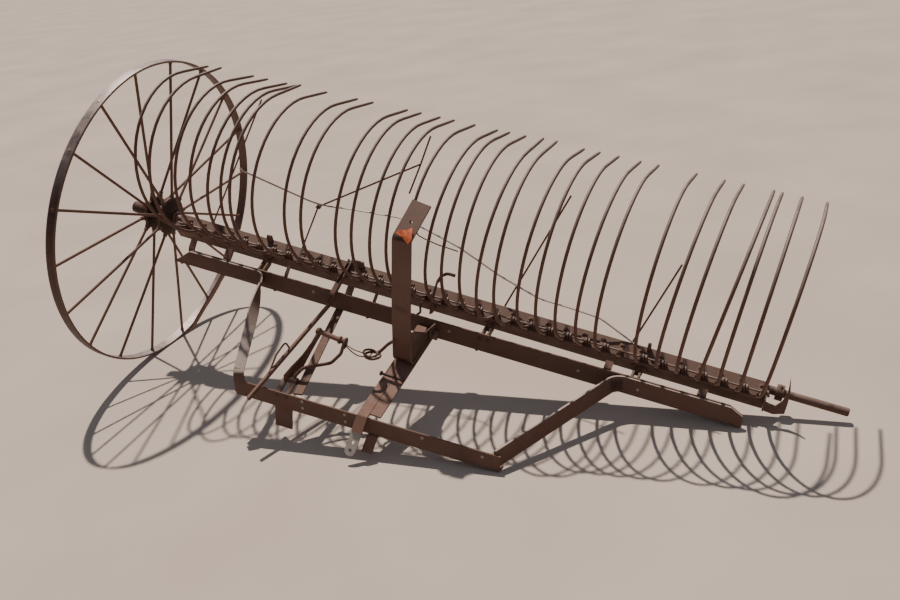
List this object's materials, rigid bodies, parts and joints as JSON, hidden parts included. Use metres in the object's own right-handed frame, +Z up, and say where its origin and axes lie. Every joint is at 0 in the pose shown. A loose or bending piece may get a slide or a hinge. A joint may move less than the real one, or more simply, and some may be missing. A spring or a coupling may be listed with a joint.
{
  "type": "horse-drawn hay rake",
  "caption": "Old sulky hay rake of rusted steel with spring teeth thrown up, one spoked wheel and a bare axle end.",
  "frame": {"origin": "on the ground under the middle of the rake's bounding box", "axes": "+X along the rake from the wheel to the bare axle end, +Y to the rear, +Z up"},
  "size_m": [3.2076, 1.4436, 1.3982],
  "materials": {
    "frame_iron": "rusted, rough",
    "side_bar": "rusted, rough",
    "tongue_bar": "rusted, rough",
    "grey_strap": "rusted, rough",
    "rust_strap": "rusted, rough",
    "seat_spring": "rusted, rough",
    "control_iron": "rusted, rough",
    "bracket_iron": "rusted, rough",
    "pin_steel": "rusted, rough",
    "axle_steel": "rusted, rough",
    "head_iron": "rusted, rough",
    "tooth_steel": "rusted, rough",
    "holder_cast": "rusted, rough",
    "wheel_tyre": "rusted, rough",
    "hub_cast": "rusted, rough",
    "spoke_iron": "rusted, rough"
  },
  "bodies": {
    "frame": {"front_beam": "frame_iron", "front_crossbar": "frame_iron", "member_right": "side_bar", "member_left": "side_bar", "tongue": "tongue_bar", "tongue_strap_grey": "grey_strap", "tongue_right": "tongue_bar", "tongue_strap_rust": "rust_strap", "seat_spring": "seat_spring", "beam_links": "bracket_iron", "lever_brace": "frame_iron", "foot_trip": "control_iron", "eye_rod": "control_iron", "crossbar_leg": "frame_iron", "hanging_strap": "side_bar", "frame_brackets": "bracket_iron", "hinge_pins": "pin_steel"},
    "head": {"axle": "axle_steel", "arm_washer": "pin_steel", "axle_collar": "axle_steel", "head_angle": "head_iron", "axle_clips": "bracket_iron", "teeth": "tooth_steel", "tooth_holders": "holder_cast", "tooth_rod": "tooth_steel", "head_lugs": "bracket_iron", "end_horn": "bracket_iron", "hand_lever": "control_iron", "lever_foot": "bracket_iron", "lever_bail": "control_iron", "arm_hook": "bracket_iron", "loose_rods": "spoke_iron", "head_ears": "bracket_iron"},
    "wheel": {"wheel_rim": "wheel_tyre", "wheel_hub": "hub_cast", "wheel_ratchet": "hub_cast", "wheel_spokes": "spoke_iron"}
  },
  "joints": [
    {"name": "rake_hinge", "type": "hinge", "parent": "frame", "child": "head", "pos_m": [-0.00797, -0.05476, 0.33715], "axis": [0.9772, 0, -0.2123], "range_deg": [-90, 0]},
    {"name": "wheel_turn", "type": "hinge", "parent": "head", "child": "wheel", "pos_m": [-1.42594, 0.01057, 0.69911], "axis": [0.9755, 0.047, -0.2149], "continuous": true}
  ]
}
